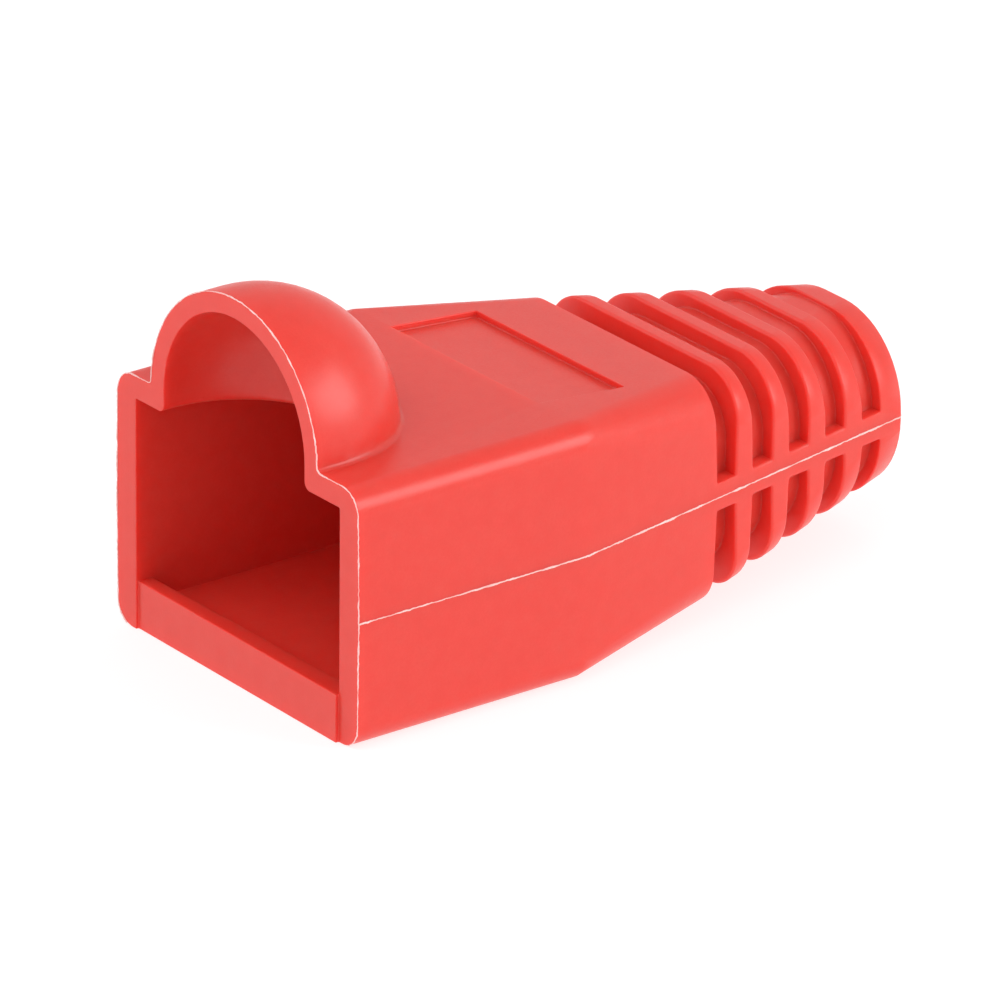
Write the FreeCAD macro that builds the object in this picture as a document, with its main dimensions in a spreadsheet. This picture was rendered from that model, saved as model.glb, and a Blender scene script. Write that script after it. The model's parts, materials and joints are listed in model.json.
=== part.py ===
import FreeCAD, Part
import os
import Sketcher
from FreeCAD import Vector
from math import cos, radians, sin, tan

# Push-on strain relief boot for an eight-contact modular plug, moulded in one piece of soft PVC.
# Millimetres. The mouth faces -Y, the cable leaves along +Y and the boot rests on its flat underside.
# Every feature is sketched with the mouth at Y 0, and the finished body is then centred on its length.

os.makedirs("parts", exist_ok=True)
doc = FreeCAD.newDocument("boot")

# two lengths this close are the same one
CLOSE = 1e-4


# ---------------------------------------------------------------- sizes
DRIVING = [
    # lengths along the boot, from the mouth to the tail
    ("overall_length", 26.25),
    ("straight_length", 9.72),
    ("shoulder_length", 6.72),
    # the plug and the cable that the boot is made for
    ("plug_width", 11.68),
    ("plug_gap", 0.1),
    ("cable_diameter", 5.4),
    ("cable_gap", 0.2),
    # walls of the block
    ("side_wall", 1.12),
    ("roof_wall", 0.86),
    ("floor_wall", 1.0),
    # outside of the block, its sides widest at half height where the mould parts
    ("body_height", 9.56),
    ("draft_angle", 0.75),
    ("top_corner_radius", 0.9),
    ("bottom_corner_radius", 0.88),
    # back end of the shoulder, where the ribs start
    ("shoulder_half_width", 5.67),
    ("shoulder_half_height", 4.21),
    ("shoulder_top_radius", 1.6),
    ("shoulder_bottom_radius", 1.37),
    # tail end
    ("tail_half_width", 3.82),
    ("tail_half_height", 3.41),
    ("tail_corner_radius", 3.26),
    ("tail_edge", 0.12),
    # strip across the foot of the mouth, set slightly askew
    ("strip_height", 1.8),
    ("strip_depth", 0.7),
    ("strip_recess", 0.1),
    ("strip_step", 0.13),
    # inside of the block
    ("socket_depth", 9.5),
    ("funnel_length", 6.0),
    ("funnel_corner_radius", 0.6),
    ("funnel_ledge", 0.15),
    # hood over the plug's latch: a half round with a ball end
    ("hood_radius", 4.8),
    ("hood_straight", 1.1),
    ("hood_offset", -0.18),
    ("hood_wall", 0.74),
    ("hood_back_wall", 1.45),
    ("hood_foot_fillet", 0.2),
    ("hood_rim_fillet", 0.3),
    # ribs and grooves
    ("groove_pitch", 1.9),
    ("groove_root_width", 0.95),
    ("groove_mouth_width", 1.25),
    ("first_groove_gap", 0.55),
    ("shortest_end_rib", 1.6),
    ("spine_height", 1.04),
    # core that the grooves stop at
    ("core_overlap", 0.5),
    ("core_tail_gap", 0.41),
    ("core_front_half_width", 5.1),
    ("core_front_half_height", 3.38),
    ("core_front_radius", 1.6),
    ("core_back_half_width", 3.4),
    ("core_back_half_height", 3.34),
    ("core_back_radius", 3.2),
    # shallow recess in the top of the shoulder
    ("recess_half_width", 4.22),
    ("recess_length", 3.75),
    ("recess_front_depth", 0.25),
    ("recess_back_depth", 0.56),
]

# sizes that follow from the ones above
FOLLOWING = [
    ("socket_width", "=plug_width + plug_gap"),
    ("body_half_width", "=socket_width / 2 + side_wall"),
    ("parting_height", "=body_height / 2"),
    ("ceiling_height", "=body_height - roof_wall"),
    ("shoulder_end", "=straight_length + shoulder_length"),
    ("bore_radius", "=(cable_diameter + cable_gap) / 2"),
    ("funnel_end", "=socket_depth + funnel_length"),
    ("hood_hollow_radius", "=hood_radius - hood_wall"),
    ("hood_hollow_straight", "=hood_straight + hood_wall - hood_back_wall"),
    ("first_groove", "=shoulder_end + first_groove_gap"),
    ("core_start", "=shoulder_end - core_overlap"),
    ("core_end", "=overall_length - core_tail_gap"),
    # as many grooves as the tail has room for, with a rib left at its end
    ("grooved_length", "=overall_length - shortest_end_rib - first_groove"),
    ("groove_count", "=floor(grooved_length / groove_pitch) + 1"),
]

sheet = doc.addObject("Spreadsheet::Sheet", "Sizes")
for row, (word, value) in enumerate(DRIVING + FOLLOWING, start=1):
    sheet.set("A%d" % row, word)
    sheet.set("B%d" % row, str(value))
    sheet.setAlias("B%d" % row, word)
doc.recompute()

body = doc.addObject("PartDesign::Body", "Boot")
body.Label = "boot"


def measure(formula):
    """Present value of a formula of sheet sizes."""
    return float(body.evalExpression(formula))


# ---------------------------------------------------------------- sketch helpers
def new_sketch(name, role, forward="0"):
    """Sketch on an origin plane of the body, moved along the plane's normal by a formula."""
    sketch = body.newObject("Sketcher::SketchObject", name)
    plane = [item for item in body.Origin.OriginFeatures if item.Role == role][0]
    sketch.AttachmentSupport = [(plane, "")]
    sketch.MapMode = "FlatFace"
    sketch.setExpression("AttachmentOffset.Base.z", forward)
    return sketch


def bind(sketch, formula, kind, *where):
    """Add a sized constraint and tie its value to the sheet."""
    number = sketch.addConstraint(Sketcher.Constraint(kind, *where, measure(formula)))
    sketch.setExpression("Constraints[%d]" % number, formula)


def bind_direction(sketch, formula, edge):
    """Fix the direction of a straight edge, in degrees from the sketch's first axis."""
    number = sketch.addConstraint(Sketcher.Constraint("Angle", edge, radians(measure(formula))))
    sketch.setExpression("Constraints[%d]" % number, "(" + formula + ") * 1 deg")


def bind_point(sketch, edge, end, across, up):
    """Fix the end of an edge by two formulas, measured from the sketch's origin."""
    bind(sketch, across, "DistanceX", -1, 1, edge, end)
    bind(sketch, up, "DistanceY", -1, 1, edge, end)


def polygon(sketch, corners):
    """Closed outline of straight edges, each corner given by two formulas."""
    first = sketch.GeometryCount
    count = len(corners)
    points = [Vector(measure(across), measure(up), 0) for across, up in corners]
    for number in range(count):
        sketch.addGeometry(Part.LineSegment(points[number], points[(number + 1) % count]), False)
    for number in range(count):
        following = first + (number + 1) % count
        sketch.addConstraint(Sketcher.Constraint("Coincident", first + number, 2, following, 1))
    for number, (across, up) in enumerate(corners):
        bind_point(sketch, first + number, 1, across, up)


def corner_arc(centre, radius, start, stop):
    """Arc from one angle to another, in degrees anticlockwise."""
    circle = Part.Circle(centre, Vector(0, 0, 1), radius)
    return Part.ArcOfCircle(circle, radians(start), radians(stop))


def rounded_section(name, behind, half_width, half_height, top_radius, bottom_radius, draft="0"):
    """Cross section of four rounded corners at a distance behind the mouth.

    Each side is two edges that meet at the parting height and lean in by the draft from there.
    """
    sketch = new_sketch(name, "XZ_Plane", "-(" + behind + ")")
    wide = measure(half_width)
    high = measure(half_height)
    middle = measure("Sizes.parting_height")
    degrees = measure(draft)
    lean = radians(degrees)

    def corner(radius):
        """Where a corner starts on the side, and its centre, seen from the parting point."""
        rise = high - radius * (1 - sin(lean))
        side = wide - rise * tan(lean)
        return side, rise, side - radius * cos(lean), high - radius

    top = measure(top_radius)
    bottom = measure(bottom_radius)
    top_side, top_rise, top_x, top_z = corner(top)
    low_side, low_rise, low_x, low_z = corner(bottom)

    def at(x, z):
        return Vector(x, middle + z, 0)

    edges = [
        Part.LineSegment(at(-low_x, -high), at(low_x, -high)),
        corner_arc(at(low_x, -low_z), bottom, -90, -degrees),
        Part.LineSegment(at(low_side, -low_rise), at(wide, 0)),
        Part.LineSegment(at(wide, 0), at(top_side, top_rise)),
        corner_arc(at(top_x, top_z), top, degrees, 90),
        Part.LineSegment(at(top_x, high), at(-top_x, high)),
        corner_arc(at(-top_x, top_z), top, 90, 180 - degrees),
        Part.LineSegment(at(-top_side, top_rise), at(-wide, 0)),
        Part.LineSegment(at(-wide, 0), at(-low_side, -low_rise)),
        corner_arc(at(-low_x, -low_z), bottom, 180 + degrees, 270),
    ]
    for edge in edges:
        sketch.addGeometry(edge, False)
    # edges 2 and 3 meet at the right parting point, edges 7 and 8 at the left one
    for number in range(10):
        kind = "Coincident" if number in (2, 7) else "Tangent"
        sketch.addConstraint(Sketcher.Constraint(kind, number, 2, (number + 1) % 10, 1))
    for flat in (0, 5):
        sketch.addConstraint(Sketcher.Constraint("Horizontal", flat))
    for first, second in ((1, 9), (4, 6)):
        sketch.addConstraint(Sketcher.Constraint("Equal", first, second))
    bind(sketch, bottom_radius, "Radius", 1)
    bind(sketch, top_radius, "Radius", 4)
    bind_point(sketch, 3, 1, half_width, "Sizes.parting_height")
    bind_point(sketch, 8, 1, "-(" + half_width + ")", "Sizes.parting_height")
    bind(sketch, half_height, "DistanceY", 3, 1, 5, 1)
    bind(sketch, half_height, "DistanceY", 0, 1, 3, 1)
    bind_direction(sketch, "90 - " + draft, 2)
    bind_direction(sketch, "90 + " + draft, 3)
    bind_direction(sketch, "-90 - " + draft, 7)
    bind_direction(sketch, "-90 + " + draft, 8)
    return sketch


def loft(kind, name, sections):
    """Loft with straight walls from one section to the next."""
    feature = body.newObject("PartDesign::" + kind, name)
    feature.Profile = sections[0]
    feature.Sections = sections[1:]
    feature.Ruled = True
    return feature


def cut_through(name, sketch):
    """Cut a side view outline right across the boot."""
    feature = body.newObject("PartDesign::Pocket", name)
    feature.Profile = sketch
    feature.Type = "ThroughAll"
    feature.SideType = "Symmetric"
    return feature


def cut_across(name, sketch, width):
    """Cut a side view outline over a width centred on the boot."""
    feature = body.newObject("PartDesign::Pocket", name)
    feature.Profile = sketch
    feature.SideType = "Symmetric"
    feature.setExpression("Length", width)
    return feature


def round_edges(name, radius, wanted):
    """Round the edges of the finished stage that the test picks."""
    doc.recompute()
    base = body.Tip
    names = ["Edge%d" % number for number, edge in enumerate(base.Shape.Edges, start=1) if wanted(edge)]
    feature = body.newObject("PartDesign::Fillet", name)
    feature.Base = (base, names)
    feature.setExpression("Radius", radius)
    return feature


# ---------------------------------------------------------------- outside: block, shoulder and tail
mouth_section = rounded_section(
    "MouthSection", "0", "Sizes.body_half_width", "Sizes.parting_height",
    "Sizes.top_corner_radius", "Sizes.bottom_corner_radius", "Sizes.draft_angle",
)
fold_section = rounded_section(
    "FoldSection", "Sizes.straight_length", "Sizes.body_half_width", "Sizes.parting_height",
    "Sizes.top_corner_radius", "Sizes.bottom_corner_radius", "Sizes.draft_angle",
)
shoulder_section = rounded_section(
    "ShoulderSection", "Sizes.shoulder_end", "Sizes.shoulder_half_width", "Sizes.shoulder_half_height",
    "Sizes.shoulder_top_radius", "Sizes.shoulder_bottom_radius", "Sizes.draft_angle",
)
tail_section = rounded_section(
    "TailSection", "Sizes.overall_length - Sizes.tail_edge",
    "Sizes.tail_half_width", "Sizes.tail_half_height",
    "Sizes.tail_corner_radius", "Sizes.tail_corner_radius", "Sizes.draft_angle",
)
# the tail's rim is eased, so its last section is a little smaller all round
rim_section = rounded_section(
    "RimSection", "Sizes.overall_length", "Sizes.tail_half_width - Sizes.tail_edge",
    "Sizes.tail_half_height - Sizes.tail_edge",
    "Sizes.tail_corner_radius - Sizes.tail_edge", "Sizes.tail_corner_radius - Sizes.tail_edge",
    "Sizes.draft_angle",
)
loft("AdditiveLoft", "Outside", [mouth_section, fold_section, shoulder_section, tail_section, rim_section])

# ---------------------------------------------------------------- grooves over the top and under the bottom
slot_sketch = new_sketch("GrooveOutlines", "YZ_Plane")
for way, level in (("+", "Sizes.body_height"), ("-", "0 mm")):
    root = "Sizes.parting_height " + way + " Sizes.spine_height / 2"
    polygon(slot_sketch, [
        ("Sizes.first_groove - Sizes.groove_root_width / 2", root),
        ("Sizes.first_groove + Sizes.groove_root_width / 2", root),
        ("Sizes.first_groove + Sizes.groove_mouth_width / 2", level),
        ("Sizes.first_groove - Sizes.groove_mouth_width / 2", level),
    ])
first_slot = cut_through("FirstGroove", slot_sketch)
grooves = body.newObject("PartDesign::LinearPattern", "Grooves")
grooves.Originals = [first_slot]
grooves.Direction = (slot_sketch, ["H_Axis"])
grooves.Mode = "Spacing"
grooves.setExpression("Offset", "Sizes.groove_pitch")
grooves.setExpression("Occurrences", "Sizes.groove_count")
body.Tip = grooves

core_front = rounded_section(
    "CoreFront", "Sizes.core_start", "Sizes.core_front_half_width", "Sizes.core_front_half_height",
    "Sizes.core_front_radius", "Sizes.core_front_radius",
)
core_back = rounded_section(
    "CoreBack", "Sizes.core_end", "Sizes.core_back_half_width", "Sizes.core_back_half_height",
    "Sizes.core_back_radius", "Sizes.core_back_radius",
)
loft("AdditiveLoft", "Core", [core_front, core_back])


# ---------------------------------------------------------------- hood over the latch
def ball_ended_profile(name, radius, straight):
    """Half outline of a rod along Y with a ball end, standing on its axis at the roof's height."""
    sketch = new_sketch(name, "YZ_Plane", "Sizes.hood_offset")
    wide = measure(radius)
    reach = measure(straight)
    level = measure("Sizes.body_height")
    sketch.addGeometry(Part.LineSegment(Vector(reach + wide, level, 0), Vector(0, level, 0)), False)
    sketch.addGeometry(Part.LineSegment(Vector(0, level, 0), Vector(0, level + wide, 0)), False)
    sketch.addGeometry(Part.LineSegment(Vector(0, level + wide, 0), Vector(reach, level + wide, 0)), False)
    sketch.addGeometry(corner_arc(Vector(reach, level, 0), wide, 0, 90), False)
    sketch.addGeometry(Part.LineSegment(Vector(0, level, 0), Vector(reach, level, 0)), True)
    sketch.addConstraint(Sketcher.Constraint("Coincident", 0, 2, 1, 1))
    sketch.addConstraint(Sketcher.Constraint("Coincident", 1, 2, 2, 1))
    sketch.addConstraint(Sketcher.Constraint("Tangent", 2, 2, 3, 2))
    sketch.addConstraint(Sketcher.Constraint("Coincident", 3, 1, 0, 1))
    sketch.addConstraint(Sketcher.Constraint("Coincident", 4, 1, 0, 2))
    sketch.addConstraint(Sketcher.Constraint("Coincident", 4, 2, 3, 3))
    sketch.addConstraint(Sketcher.Constraint("Horizontal", 0))
    sketch.addConstraint(Sketcher.Constraint("Vertical", 1))
    sketch.addConstraint(Sketcher.Constraint("Horizontal", 2))
    sketch.addConstraint(Sketcher.Constraint("PointOnObject", 1, 1, -2))
    bind(sketch, "Sizes.body_height", "DistanceY", -1, 1, 1, 1)
    bind(sketch, radius, "Radius", 3)
    bind(sketch, straight, "DistanceX", 4, 1, 4, 2)
    return sketch


def turn(kind, name, sketch):
    """Turn a profile right round its own axis."""
    feature = body.newObject("PartDesign::" + kind, name)
    feature.Profile = sketch
    feature.ReferenceAxis = (sketch, ["Axis0"])
    feature.Angle = 360
    return feature


hood_profile = ball_ended_profile("HoodProfile", "Sizes.hood_radius", "Sizes.hood_straight")
turn("Revolution", "Hood", hood_profile)


def follows_hood(edge, level, radius, straight):
    """True for an edge at one height that runs along the hood's outline in plan."""
    for share in (0.0, 0.5, 1.0):
        place = edge.FirstParameter + share * (edge.LastParameter - edge.FirstParameter)
        point = edge.valueAt(place)
        across = point.x - measure("Sizes.hood_offset")
        beyond = max(point.y - measure(straight), 0)
        off_line = Vector(across, beyond, 0).Length - measure(radius)
        if max(abs(point.z - measure(level)), abs(off_line)) > CLOSE:
            return False
    return True


def on_hood_foot(edge):
    return follows_hood(edge, "Sizes.body_height", "Sizes.hood_radius", "Sizes.hood_straight")


round_edges("HoodFoot", "Sizes.hood_foot_fillet", on_hood_foot)

# ---------------------------------------------------------------- recess in the shoulder's top
recess_sketch = new_sketch("RecessOutline", "YZ_Plane")
polygon(recess_sketch, [
    ("Sizes.straight_length", "Sizes.body_height - Sizes.recess_front_depth"),
    ("Sizes.straight_length + Sizes.recess_length", "Sizes.body_height - Sizes.recess_back_depth"),
    ("Sizes.straight_length + Sizes.recess_length", "Sizes.body_height"),
    ("Sizes.straight_length", "Sizes.body_height"),
])
cut_across("Recess", recess_sketch, "2 * Sizes.recess_half_width")

# ---------------------------------------------------------------- inside: plug socket, funnel and cable bore
socket_sketch = new_sketch("SocketOutline", "YZ_Plane")
polygon(socket_sketch, [
    ("0 mm", "Sizes.floor_wall"),
    ("Sizes.socket_depth", "Sizes.floor_wall"),
    ("Sizes.socket_depth", "Sizes.ceiling_height"),
    ("0 mm", "Sizes.ceiling_height"),
])
cut_across("Socket", socket_sketch, "Sizes.socket_width")

funnel_front = rounded_section(
    "FunnelFront", "Sizes.socket_depth", "Sizes.socket_width / 2 - Sizes.funnel_ledge",
    "Sizes.parting_height - Sizes.floor_wall - Sizes.funnel_ledge",
    "Sizes.funnel_corner_radius", "Sizes.funnel_corner_radius",
)


def bore_circle(name, behind):
    """The cable bore's circle at a distance behind the mouth."""
    sketch = new_sketch(name, "XZ_Plane", "-(" + behind + ")")
    centre = Vector(0, measure("Sizes.parting_height"), 0)
    sketch.addGeometry(Part.Circle(centre, Vector(0, 0, 1), measure("Sizes.bore_radius")), False)
    sketch.addConstraint(Sketcher.Constraint("PointOnObject", 0, 3, -2))
    bind(sketch, "Sizes.parting_height", "DistanceY", -1, 1, 0, 3)
    bind(sketch, "Sizes.bore_radius", "Radius", 0)
    return sketch


loft("SubtractiveLoft", "Funnel", [funnel_front, bore_circle("FunnelBack", "Sizes.funnel_end")])

bore = body.newObject("PartDesign::Pocket", "CableBore")
bore.Profile = bore_circle("BoreCircle", "Sizes.overall_length")
bore.Reversed = True
bore.setExpression("Length", "Sizes.overall_length - Sizes.funnel_end")

# ---------------------------------------------------------------- inside of the hood
hollow_profile = ball_ended_profile("HollowProfile", "Sizes.hood_hollow_radius", "Sizes.hood_hollow_straight")
turn("Groove", "HoodHollow", hollow_profile)

# the hollow carries on straight down through the roof into the socket
window_sketch = new_sketch("WindowOutline", "XY_Plane", "Sizes.body_height")
middle = measure("Sizes.hood_offset")
left = middle - measure("Sizes.hood_hollow_radius")
right = middle + measure("Sizes.hood_hollow_radius")
reach = measure("Sizes.hood_hollow_straight")
window_sketch.addGeometry(Part.LineSegment(Vector(left, 0, 0), Vector(right, 0, 0)), False)
window_sketch.addGeometry(Part.LineSegment(Vector(right, 0, 0), Vector(right, reach, 0)), False)
window_sketch.addGeometry(corner_arc(Vector(middle, reach, 0), right - middle, 0, 180), False)
window_sketch.addGeometry(Part.LineSegment(Vector(left, reach, 0), Vector(left, 0, 0)), False)
for number, kind in enumerate(("Coincident", "Tangent", "Tangent", "Coincident")):
    window_sketch.addConstraint(Sketcher.Constraint(kind, number, 2, (number + 1) % 4, 1))
window_sketch.addConstraint(Sketcher.Constraint("PointOnObject", 0, 1, -1))
window_sketch.addConstraint(Sketcher.Constraint("Vertical", 1))
window_sketch.addConstraint(Sketcher.Constraint("Horizontal", 0))
bind(window_sketch, "Sizes.hood_hollow_radius", "Radius", 2)
bind_point(window_sketch, 2, 3, "Sizes.hood_offset", "Sizes.hood_hollow_straight")
window = body.newObject("PartDesign::Pocket", "HoodWindow")
window.Profile = window_sketch
window.setExpression("Length", "Sizes.roof_wall")


def on_hood_rim(edge):
    straight = "Sizes.hood_hollow_straight"
    return follows_hood(edge, "Sizes.ceiling_height", "Sizes.hood_hollow_radius", straight)


round_edges("HoodRim", "Sizes.hood_rim_fillet", on_hood_rim)

# ---------------------------------------------------------------- strip across the foot of the mouth
seat_sketch = new_sketch("StripSeatOutline", "YZ_Plane")
polygon(seat_sketch, [
    ("0 mm", "0 mm"),
    ("Sizes.strip_depth", "0 mm"),
    ("Sizes.strip_depth", "Sizes.floor_wall"),
    ("0 mm", "Sizes.floor_wall"),
])
cut_across("StripSeat", seat_sketch, "Sizes.socket_width")

strip_sketch = new_sketch("StripOutline", "XY_Plane")
polygon(strip_sketch, [
    ("-Sizes.socket_width / 2", "Sizes.strip_recess"),
    ("Sizes.socket_width / 2", "-Sizes.strip_step"),
    ("Sizes.socket_width / 2", "Sizes.strip_depth"),
    ("-Sizes.socket_width / 2", "Sizes.strip_depth"),
])
strip = body.newObject("PartDesign::Pad", "Strip")
strip.Profile = strip_sketch
strip.setExpression("Length", "Sizes.strip_height")

# ---------------------------------------------------------------- frame, check and export
body.Tip = strip
# the strip's forward corner and the tail's end are the same distance from the origin
body.setExpression("Placement.Base.y", "(Sizes.strip_step - Sizes.overall_length) / 2")
doc.recompute()

failed = [item.Name for item in doc.Objects if "Invalid" in item.State or "Error" in item.State]
if failed:
    raise RuntimeError("failed features: " + ", ".join(failed))
if body.Shape.isNull() or not body.Shape.isValid() or len(body.Shape.Solids) != 1:
    raise RuntimeError("the boot is not one valid solid")

# every cut has taken something away
for cut in body.Group:
    if cut.TypeId in ("PartDesign::Pocket", "PartDesign::Groove", "PartDesign::SubtractiveLoft"):
        if cut.Shape.Volume > cut.BaseFeature.Shape.Volume - CLOSE:
            raise RuntimeError("nothing is cut by " + cut.Name)

body.Shape.exportStep("parts/" + body.Label + ".step")
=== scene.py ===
import json
from math import cos, radians, sin

import bmesh
import bpy
from mathutils import Matrix, Vector, noise


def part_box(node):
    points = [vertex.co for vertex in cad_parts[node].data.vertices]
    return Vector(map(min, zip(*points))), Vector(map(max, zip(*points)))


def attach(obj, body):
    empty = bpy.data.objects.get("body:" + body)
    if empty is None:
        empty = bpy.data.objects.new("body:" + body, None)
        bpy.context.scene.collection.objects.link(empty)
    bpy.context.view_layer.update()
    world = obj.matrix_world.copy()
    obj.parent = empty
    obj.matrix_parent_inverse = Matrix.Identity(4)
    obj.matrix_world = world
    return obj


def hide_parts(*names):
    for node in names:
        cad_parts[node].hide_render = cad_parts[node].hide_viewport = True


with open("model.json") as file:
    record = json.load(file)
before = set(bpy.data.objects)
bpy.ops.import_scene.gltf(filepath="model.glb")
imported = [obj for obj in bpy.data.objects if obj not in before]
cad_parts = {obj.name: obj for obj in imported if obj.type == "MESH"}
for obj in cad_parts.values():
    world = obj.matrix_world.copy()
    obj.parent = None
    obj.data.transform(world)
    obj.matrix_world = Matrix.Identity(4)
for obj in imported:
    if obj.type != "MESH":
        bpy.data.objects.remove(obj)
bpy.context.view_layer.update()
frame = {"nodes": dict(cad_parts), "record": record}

MM = 0.001

# ---------------------------------------------------------------- places, from the frame
boot_low, boot_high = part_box("boot")
mounts = {mount["name"]: mount for mount in frame["record"]["mounts"]}
MOUTH_Y = Vector(mounts["plug_socket"]["pos_m"]).y
TAIL_Y = boot_high.y
PARTING_Z = Vector(mounts["cable_bore"]["pos_m"]).z
BORE_RADIUS = mounts["cable_bore"]["dims"]["r_mm"] * MM
MIDDLE = (boot_low + boot_high) / 2

# the ribs lie between the shoulder's end and the tail's rim
SHOULDER_END_DEPTH = 16.6 * MM
TAIL_RIM = 0.4 * MM
LAST_GROOVE_REACH = 2.6 * MM
RIBS_START = MOUTH_Y + SHOULDER_END_DEPTH
RIBS_END = TAIL_Y - TAIL_RIM
LAST_GROOVE_START = TAIL_Y - LAST_GROOVE_REACH

# ---------------------------------------------------------------- finish of the moulding
SAME_PLACE = 0.001 * MM
FLAT_ANGLE = radians(0.5)
SHARP_ANGLE = radians(32)
SMOOTH_ANGLE = radians(40)
EDGE_SOFTNESS = 0.04 * MM
LIP_SOFTNESS = 0.13 * MM
SHALLOW_LIP_SOFTNESS = 0.07 * MM
EDGE_SEGMENTS = 3
FLAT_FACE_WEIGHT = 60

# how squarely a face has to look at or away from the middle, as the cosine of its angle
BORE_WALL_FACING = 0.9
SIDE_FACING = 0.5
OUTLINE_FACING = 0.2

PARTING_FLASH_THICKNESS = 0.055 * MM
MOUTH_FLASH_THICKNESS = 0.042 * MM
FLASH_STEP = 0.06 * MM
FLASH_WANDER = 0.018 * MM
FLASH_WANDER_LENGTH = 0.12 * MM
FLASH_SWELL_LENGTH = 0.45 * MM
FLASH_FLOOR_CLEARANCE = 0.1 * MM
FLASH_NOISE_SEED = 7
# shares of the flash's own thickness
FLASH_SWELL = 1.1
THINNEST_FLASH = 0.6

# ---------------------------------------------------------------- colours and gloss of the plastic
BOOT_RED = (0.71, 0.046, 0.031, 1)
PALE_BOOT_RED = (0.73, 0.056, 0.039, 1)
FLASH_PINK = (0.88, 0.46, 0.43, 1)
PALE_FLASH_PINK = (0.96, 0.74, 0.72, 1)
PVC_IOR = 1.43
PVC_SHINE = 0.5
BORE_SHINE = 0.12
# how far red, green and blue light wander inside the plastic
GLOW_REACH = 1.0 * MM
GLOW_SHARES = (1, 0.1, 0.08)
MOTTLE_SIZE = 0.6 * MM
SPECK_SPREAD = (0.12, 0.4)
GRAIN_SPREAD = (0.3, 0.7)
ROUGHNESS_SPREAD = (0.28, 0.4)


# ---------------------------------------------------------------- small helpers
def select_only(piece):
    """Deselect everything, then select this piece and make it active."""
    bpy.ops.object.select_all(action="DESELECT")
    piece.select_set(True)
    bpy.context.view_layer.objects.active = piece


def shaped_in_edit_mode(piece, operator, **settings):
    """Run one mesh operator on all of a piece."""
    select_only(piece)
    bpy.ops.object.mode_set(mode="EDIT")
    bpy.ops.mesh.select_all(action="SELECT")
    operator(**settings)
    bpy.ops.object.mode_set(mode="OBJECT")


def apply_modifier(piece, kind, name, **settings):
    """Add a modifier to a piece and apply it."""
    select_only(piece)
    modifier = piece.modifiers.new(name, kind)
    for setting, value in settings.items():
        setattr(modifier, setting, value)
    bpy.ops.object.modifier_apply(modifier=name)


# ---------------------------------------------------------------- materials
def new_material(name):
    """New node material and its principled shader."""
    material = bpy.data.materials.new(name)
    material.use_nodes = True
    return material, material.node_tree.nodes["Principled BSDF"]


def moulded_grain_group():
    """Fine grain of soft moulded plastic: a mottled colour, a roughness and a bumped normal."""
    group = bpy.data.node_groups.new("moulded_grain", "ShaderNodeTree")
    for label, kind in (
        ("Colour", "NodeSocketColor"),
        ("Pale Colour", "NodeSocketColor"),
        ("Grain Size", "NodeSocketFloat"),
        ("Grain Depth", "NodeSocketFloat"),
    ):
        group.interface.new_socket(label, in_out="INPUT", socket_type=kind)
    for label, kind in (
        ("Colour", "NodeSocketColor"),
        ("Roughness", "NodeSocketFloat"),
        ("Normal", "NodeSocketVector"),
    ):
        group.interface.new_socket(label, in_out="OUTPUT", socket_type=kind)
    nodes = group.nodes
    links = group.links
    inputs = nodes.new("NodeGroupInput")
    outputs = nodes.new("NodeGroupOutput")
    place = nodes.new("ShaderNodeTexCoord")

    scale = nodes.new("ShaderNodeMath")
    scale.operation = "DIVIDE"
    scale.inputs[0].default_value = 1
    links.new(inputs.outputs["Grain Size"], scale.inputs[1])

    grain = nodes.new("ShaderNodeTexNoise")
    grain.inputs["Detail"].default_value = 3
    grain.inputs["Roughness"].default_value = 0.6
    links.new(place.outputs["Object"], grain.inputs["Vector"])
    links.new(scale.outputs[0], grain.inputs["Scale"])

    bump = nodes.new("ShaderNodeBump")
    bump.inputs["Strength"].default_value = 1
    links.new(inputs.outputs["Grain Depth"], bump.inputs["Distance"])
    links.new(grain.outputs["Fac"], bump.inputs["Height"])
    links.new(bump.outputs["Normal"], outputs.inputs["Normal"])

    mottle = nodes.new("ShaderNodeTexNoise")
    mottle.inputs["Scale"].default_value = 1 / MOTTLE_SIZE
    mottle.inputs["Detail"].default_value = 4
    links.new(place.outputs["Object"], mottle.inputs["Vector"])

    speck = nodes.new("ShaderNodeMath")
    speck.operation = "MULTIPLY"
    links.new(grain.outputs["Fac"], speck.inputs[0])
    links.new(mottle.outputs["Fac"], speck.inputs[1])
    spread = nodes.new("ShaderNodeMapRange")
    spread.inputs["From Min"].default_value = SPECK_SPREAD[0]
    spread.inputs["From Max"].default_value = SPECK_SPREAD[1]
    links.new(speck.outputs[0], spread.inputs["Value"])

    colour = nodes.new("ShaderNodeMix")
    colour.data_type = "RGBA"
    links.new(spread.outputs["Result"], colour.inputs["Factor"])
    links.new(inputs.outputs["Colour"], colour.inputs["A"])
    links.new(inputs.outputs["Pale Colour"], colour.inputs["B"])
    links.new(colour.outputs["Result"], outputs.inputs["Colour"])

    gloss = nodes.new("ShaderNodeMapRange")
    gloss.inputs["From Min"].default_value = GRAIN_SPREAD[0]
    gloss.inputs["From Max"].default_value = GRAIN_SPREAD[1]
    gloss.inputs["To Min"].default_value = ROUGHNESS_SPREAD[0]
    gloss.inputs["To Max"].default_value = ROUGHNESS_SPREAD[1]
    links.new(grain.outputs["Fac"], gloss.inputs["Value"])
    links.new(gloss.outputs["Result"], outputs.inputs["Roughness"])
    return group


moulded_grain = moulded_grain_group()


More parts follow.
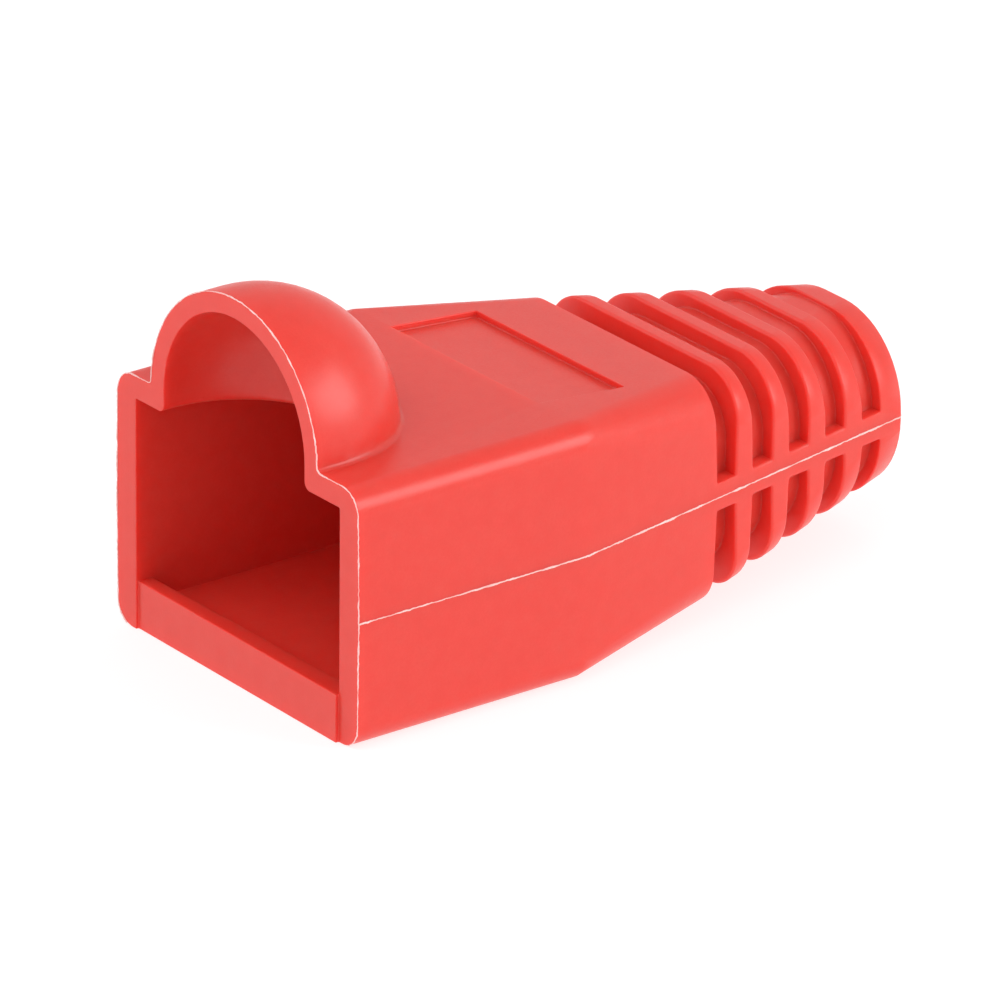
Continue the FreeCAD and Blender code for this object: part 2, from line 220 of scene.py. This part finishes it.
def soft_pvc(name, colour, pale_colour, grain_size, grain_depth, glow, shine=PVC_SHINE):
    """Soft PVC with the moulded grain; glow is the share of light that wanders inside it."""
    material, shader = new_material(name)
    tree = material.node_tree
    grain = tree.nodes.new("ShaderNodeGroup")
    grain.node_tree = moulded_grain
    grain.inputs["Colour"].default_value = colour
    grain.inputs["Pale Colour"].default_value = pale_colour
    grain.inputs["Grain Size"].default_value = grain_size
    grain.inputs["Grain Depth"].default_value = grain_depth
    tree.links.new(grain.outputs["Colour"], shader.inputs["Base Color"])
    tree.links.new(grain.outputs["Roughness"], shader.inputs["Roughness"])
    tree.links.new(grain.outputs["Normal"], shader.inputs["Normal"])
    shader.inputs["IOR"].default_value = PVC_IOR
    shader.inputs["Specular IOR Level"].default_value = shine
    shader.inputs["Subsurface Weight"].default_value = glow
    shader.inputs["Subsurface Radius"].default_value = GLOW_SHARES
    shader.inputs["Subsurface Scale"].default_value = GLOW_REACH
    return material


red_pvc = soft_pvc(
    "red_pvc", colour=BOOT_RED, pale_colour=PALE_BOOT_RED,
    grain_size=0.09 * MM, grain_depth=0.004 * MM, glow=0.9,
)
bore_pvc = soft_pvc(
    "bore_pvc", colour=BOOT_RED, pale_colour=PALE_BOOT_RED,
    grain_size=0.09 * MM, grain_depth=0.004 * MM, glow=0.9, shine=BORE_SHINE,
)
flash_pvc = soft_pvc(
    "flash_pvc", colour=FLASH_PINK, pale_colour=PALE_FLASH_PINK,
    grain_size=0.08 * MM, grain_depth=0.008 * MM, glow=0,
)


# ---------------------------------------------------------------- the boot's skin
def merged_boot(name):
    """A copy of the boot's own mesh with its loose triangles joined and its flats made whole."""
    copy = bpy.data.objects.new(name, frame["nodes"]["boot"].data.copy())
    bpy.context.scene.collection.objects.link(copy)
    shaped_in_edit_mode(copy, bpy.ops.mesh.remove_doubles, threshold=SAME_PLACE)
    shaped_in_edit_mode(copy, bpy.ops.mesh.dissolve_limited, angle_limit=FLAT_ANGLE)
    return copy


def among_ribs(edge):
    """True for an edge that lies between the shoulder and the tail's rim."""
    return all(RIBS_START < corner.co.y < RIBS_END for corner in edge.verts)


def softness(edge):
    """Rounding of a sharp edge: a groove's lip is rounder, but less so at the shallow last groove."""
    if not (among_ribs(edge) and edge.is_convex):
        return EDGE_SOFTNESS
    at_last_groove = all(corner.co.y > LAST_GROOVE_START for corner in edge.verts)
    return SHALLOW_LIP_SOFTNESS if at_last_groove else LIP_SOFTNESS


def line_bore(skin):
    """Give the bore's wall a duller plastic, so that it mirrors less of the pale floor behind it."""
    skin.data.materials.append(bore_pvc)
    for face in skin.data.polygons:
        from_axis = Vector((face.center.x, 0, face.center.z - PARTING_Z))
        faces_axis = face.normal.dot(from_axis) < -BORE_WALL_FACING * from_axis.length
        if faces_axis and from_axis.length < BORE_RADIUS + SAME_PLACE:
            face.material_index = 1


def boot_skin():
    """The boot with the softened edges and smooth curves of a moulding."""
    skin = merged_boot("boot_skin")
    mesh = bmesh.new()
    mesh.from_mesh(skin.data)
    weight = mesh.edges.layers.float.new("bevel_weight_edge")
    for edge in mesh.edges:
        if edge.calc_face_angle() > SHARP_ANGLE:
            edge[weight] = softness(edge) / LIP_SOFTNESS
    mesh.to_mesh(skin.data)
    mesh.free()
    skin.data.materials.clear()
    skin.data.materials.append(red_pvc)
    apply_modifier(
        skin, "BEVEL", "soft edges", width=LIP_SOFTNESS, segments=EDGE_SEGMENTS,
        limit_method="WEIGHT", use_clamp_overlap=False, miter_outer="MITER_ARC",
    )
    select_only(skin)
    bpy.ops.object.shade_smooth_by_angle(angle=SMOOTH_ANGLE)
    apply_modifier(
        skin, "WEIGHTED_NORMAL", "even shading", keep_sharp=True, weight=FLAT_FACE_WEIGHT,
    )
    line_bore(skin)
    return skin


skin = boot_skin()
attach(skin, "root")
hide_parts("boot")


# ---------------------------------------------------------------- flash left by the mould
def on_parting_line(edge):
    """True for an edge of the boot's outside where the two halves of the mould met."""
    level = all(abs(corner.co.z - PARTING_Z) < SAME_PLACE for corner in edge.verts)
    middle = (edge.verts[0].co + edge.verts[1].co) / 2
    least = SIDE_FACING * abs(middle.x)
    return level and all(face.normal.x * middle.x > least for face in edge.link_faces)


def on_mouth_outline(edge):
    """True for an outer edge of the boot's front face, clear of the floor."""
    if not edge.is_convex or any(abs(corner.co.y - MOUTH_Y) > SAME_PLACE for corner in edge.verts):
        return False
    middle = (edge.verts[0].co + edge.verts[1].co) / 2
    outwards = Vector((middle.x, 0, middle.z - PARTING_Z))
    least = OUTLINE_FACING * outwards.length
    faces_out = any(face.normal.dot(outwards) > least for face in edge.link_faces)
    return faces_out and middle.z > boot_low.z + FLASH_FLOOR_CLEARANCE


def keep_edges(piece, wanted):
    """Delete all of a piece but the edges that the test picks."""
    select_only(piece)
    bpy.ops.object.mode_set(mode="EDIT")
    bpy.ops.mesh.select_mode(type="EDGE")
    bpy.ops.mesh.select_all(action="DESELECT")
    for edge in bmesh.from_edit_mesh(piece.data).edges:
        edge.select_set(not (edge.is_manifold and wanted(edge)))
    bpy.ops.mesh.delete(type="EDGE")
    bpy.ops.object.mode_set(mode="OBJECT")


def divide_long_edges(piece, longest):
    """Halve a piece's edges until none is longer than this."""
    select_only(piece)
    bpy.ops.object.mode_set(mode="EDIT")
    bpy.ops.mesh.select_mode(type="EDGE")
    while True:
        bpy.ops.mesh.select_all(action="DESELECT")
        long_edges = [
            edge for edge in bmesh.from_edit_mesh(piece.data).edges if edge.calc_length() > longest
        ]
        if not long_edges:
            break
        for edge in long_edges:
            edge.select_set(True)
        bpy.ops.mesh.subdivide(number_cuts=1)
    bpy.ops.object.mode_set(mode="OBJECT")


def flash(name, wanted, thickness, seed):
    """Uneven thread of flash along the edges that the test picks."""
    thread = merged_boot(name)
    keep_edges(thread, wanted)
    divide_long_edges(thread, FLASH_STEP)
    select_only(thread)
    bpy.ops.object.convert(target="CURVE")
    for line in thread.data.splines:
        for point in line.points:
            spot = Vector(point.co[:3])
            drift = noise.noise_vector(spot / FLASH_WANDER_LENGTH + Vector((seed, 0, 0)))
            point.co = (*(spot + drift * FLASH_WANDER), 1)
            swell = noise.noise(spot / FLASH_SWELL_LENGTH + Vector((0, seed, 0)))
            point.radius = max(THINNEST_FLASH, 1 + FLASH_SWELL * swell)
    thread.data.bevel_depth = thickness / 2
    thread.data.bevel_resolution = 1
    thread.data.use_fill_caps = True
    bpy.ops.object.convert(target="MESH")
    thread.data.materials.clear()
    thread.data.materials.append(flash_pvc)
    select_only(thread)
    bpy.ops.object.shade_smooth()
    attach(thread, "root")


# noise_vector starts from the clock unless a seed is set
noise.seed_set(FLASH_NOISE_SEED)
flash("parting_flash", on_parting_line, PARTING_FLASH_THICKNESS, seed=3.7)
flash("mouth_flash", on_mouth_outline, MOUTH_FLASH_THICKNESS, seed=8.2)


# ---------------------------------------------------------------- floor, light and camera
FLOOR_SIZE = 2
FLOOR_GAP = 0.01 * MM
FLOOR_GREY = (0.35, 0.35, 0.35, 1)
WHITE = (1, 1, 1, 1)
FLOOR_BRIGHTNESS = 0.73
SURROUND_BRIGHTNESS = 0.67
PANEL_DISTANCE = 0.5

CAMERA_AZIMUTH = 52.555
CAMERA_ELEVATION = 23.393
CAMERA_ROLL = 0.482
CAMERA_DISTANCE = 473.56 * MM
CAMERA_LENS = 490.75
CAMERA_SENSOR_WIDTH = 36
CAMERA_REACH = 10
# where the boot's middle sits, from the middle of the view
BOOT_RIGHT_OF_MIDDLE = 1.382 * MM
BOOT_ABOVE_MIDDLE = 3.28 * MM


def floor():
    """Plain pale floor, which glows so that the shadows on it stay faint."""
    bpy.ops.object.select_all(action="DESELECT")
    bpy.ops.mesh.primitive_plane_add(size=FLOOR_SIZE, location=(0, 0, boot_low.z - FLOOR_GAP))
    slab = bpy.context.object
    slab.name = "floor"
    material, shader = new_material("pale_floor")
    shader.inputs["Base Color"].default_value = FLOOR_GREY
    shader.inputs["Roughness"].default_value = 0.9
    shader.inputs["Emission Color"].default_value = WHITE
    shader.inputs["Emission Strength"].default_value = FLOOR_BRIGHTNESS
    slab.data.materials.append(material)


floor()


def pointing(azimuth, elevation):
    """Unit vector from the boot at that azimuth and elevation; azimuth 0 is -Y and 90 is +X."""
    return Vector((
        sin(radians(azimuth)) * cos(radians(elevation)),
        -cos(radians(azimuth)) * cos(radians(elevation)),
        sin(radians(elevation)),
    ))


def soft_panel(name, azimuth, elevation, size, power):
    """Square soft light that faces the boot."""
    light = bpy.data.lights.new(name, "AREA")
    light.size = size
    light.energy = power
    panel = bpy.data.objects.new(name, light)
    bpy.context.scene.collection.objects.link(panel)
    towards = pointing(azimuth, elevation)
    panel.location = MIDDLE + towards * PANEL_DISTANCE
    panel.rotation_euler = towards.to_track_quat("Z", "Y").to_euler()


soft_panel("right_back_panel", azimuth=131, elevation=24, size=0.26, power=1.25)
soft_panel("right_front_panel", azimuth=50, elevation=40, size=0.4, power=0.21)
soft_panel("high_front_panel", azimuth=0, elevation=55, size=0.4, power=0.47)
soft_panel("left_front_panel", azimuth=-45, elevation=35, size=0.4, power=0.41)

surround = bpy.data.worlds.new("surround")
surround.use_nodes = True
surround.node_tree.nodes["Background"].inputs["Color"].default_value = WHITE
surround.node_tree.nodes["Background"].inputs["Strength"].default_value = SURROUND_BRIGHTNESS
bpy.context.scene.world = surround
bpy.context.scene.view_settings.view_transform = "Standard"


def long_lens_camera():
    """Long lens camera above the front right corner of the boot."""
    lens = bpy.data.cameras.new("camera")
    lens.sensor_width = CAMERA_SENSOR_WIDTH
    lens.lens = CAMERA_LENS
    lens.clip_end = CAMERA_REACH
    camera = bpy.data.objects.new("camera", lens)
    bpy.context.scene.collection.objects.link(camera)
    back = pointing(CAMERA_AZIMUTH, CAMERA_ELEVATION)
    level_right = Vector((cos(radians(CAMERA_AZIMUTH)), sin(radians(CAMERA_AZIMUTH)), 0))
    turn = Matrix.Rotation(radians(CAMERA_ROLL), 3, back)
    right = turn @ level_right
    up = back.cross(right)
    aim = MIDDLE - right * BOOT_RIGHT_OF_MIDDLE - up * BOOT_ABOVE_MIDDLE
    place = Matrix((right, up, back)).transposed().to_4x4()
    place.translation = aim + back * CAMERA_DISTANCE
    camera.matrix_world = place
    bpy.context.scene.camera = camera


long_lens_camera()
